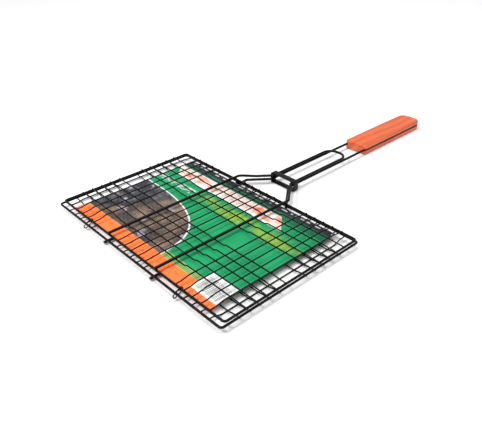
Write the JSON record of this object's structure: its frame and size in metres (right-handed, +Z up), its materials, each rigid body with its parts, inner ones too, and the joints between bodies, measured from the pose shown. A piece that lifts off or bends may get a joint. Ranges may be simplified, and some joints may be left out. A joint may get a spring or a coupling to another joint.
{
  "type": "grill basket",
  "caption": "Hinged wire grill basket that clamps food between a tray grid and a lid grid, with a long wooden-gripped handle and a sliding locking ring.",
  "frame": {"origin": "middle of the whole length and width, on the plane that the closed basket rests on", "axes": "+X along the handle from the hinge to the grip, +Z up through the lid"},
  "size_m": [0.7734, 0.445, 0.0207],
  "materials": {
    "black_coated_steel": "satin non-stick coating",
    "grip_wood": "stained and oiled",
    "printed_card": "printed, semi-gloss"
  },
  "bodies": {
    "basket": {"basket_frame": "black_coated_steel", "basket_handle_wire": "black_coated_steel", "wooden_grip": "grip_wood", "printed_card": "printed_card", "basket_lengthwise_wire_01": "black_coated_steel", "basket_lengthwise_wire_02": "black_coated_steel", "basket_lengthwise_wire_03": "black_coated_steel", "basket_lengthwise_wire_04": "black_coated_steel", "basket_lengthwise_wire_05": "black_coated_steel", "basket_lengthwise_wire_06": "black_coated_steel", "basket_lengthwise_wire_07": "black_coated_steel", "basket_lengthwise_wire_08": "black_coated_steel", "basket_lengthwise_wire_09": "black_coated_steel", "basket_lengthwise_wire_10": "black_coated_steel", "basket_lengthwise_wire_11": "black_coated_steel", "basket_lengthwise_wire_12": "black_coated_steel", "basket_lengthwise_wire_13": "black_coated_steel", "basket_lengthwise_wire_14": "black_coated_steel", "basket_lengthwise_wire_15": "black_coated_steel", "basket_crosswise_wire_01": "black_coated_steel", "basket_crosswise_wire_02": "black_coated_steel", "basket_crosswise_wire_03": "black_coated_steel", "basket_crosswise_wire_04": "black_coated_steel", "basket_crosswise_wire_05": "black_coated_steel", "basket_crosswise_wire_06": "black_coated_steel", "basket_crosswise_wire_07": "black_coated_steel", "basket_crosswise_wire_08": "black_coated_steel", "basket_crosswise_wire_09": "black_coated_steel", "basket_crosswise_wire_10": "black_coated_steel"},
    "hinge_rings": {"hinge_ring_left": "black_coated_steel", "hinge_ring_right": "black_coated_steel"},
    "lid": {"lid_frame": "black_coated_steel", "lid_handle_wire": "black_coated_steel", "lid_lengthwise_wire_01": "black_coated_steel", "lid_lengthwise_wire_02": "black_coated_steel", "lid_lengthwise_wire_03": "black_coated_steel", "lid_lengthwise_wire_04": "black_coated_steel", "lid_lengthwise_wire_05": "black_coated_steel", "lid_lengthwise_wire_06": "black_coated_steel", "lid_lengthwise_wire_07": "black_coated_steel", "lid_lengthwise_wire_08": "black_coated_steel", "lid_lengthwise_wire_09": "black_coated_steel", "lid_lengthwise_wire_10": "black_coated_steel", "lid_lengthwise_wire_11": "black_coated_steel", "lid_lengthwise_wire_12": "black_coated_steel", "lid_lengthwise_wire_13": "black_coated_steel", "lid_lengthwise_wire_14": "black_coated_steel", "lid_lengthwise_wire_15": "black_coated_steel", "lid_crosswise_wire_01": "black_coated_steel", "lid_crosswise_wire_02": "black_coated_steel", "lid_crosswise_wire_03": "black_coated_steel", "lid_crosswise_wire_04": "black_coated_steel", "lid_crosswise_wire_05": "black_coated_steel", "lid_crosswise_wire_06": "black_coated_steel", "lid_crosswise_wire_07": "black_coated_steel", "lid_crosswise_wire_08": "black_coated_steel", "lid_crosswise_wire_09": "black_coated_steel", "lid_crosswise_wire_10": "black_coated_steel"},
    "locking_ring": {"locking_ring": "black_coated_steel"}
  },
  "joints": [
    {"name": "ring_fold", "type": "hinge", "parent": "basket", "child": "hinge_rings", "pos_m": [-0.37934, 0, 0.009], "axis": [0, -1, 0], "range_deg": [0, 150]},
    {"name": "lid_fold", "type": "hinge", "parent": "hinge_rings", "child": "lid", "pos_m": [-0.37134, 0, 0.0136], "axis": [0, -1, 0], "range_deg": [0, 30]},
    {"name": "ring_slide", "type": "slide", "parent": "basket", "child": "locking_ring", "axis": [1, 0, 0], "range_m": [0, 0.208]}
  ],
  "couplings": [
    {"joint": "lid_fold", "follows": "ring_fold", "ratio": 0.2}
  ]
}
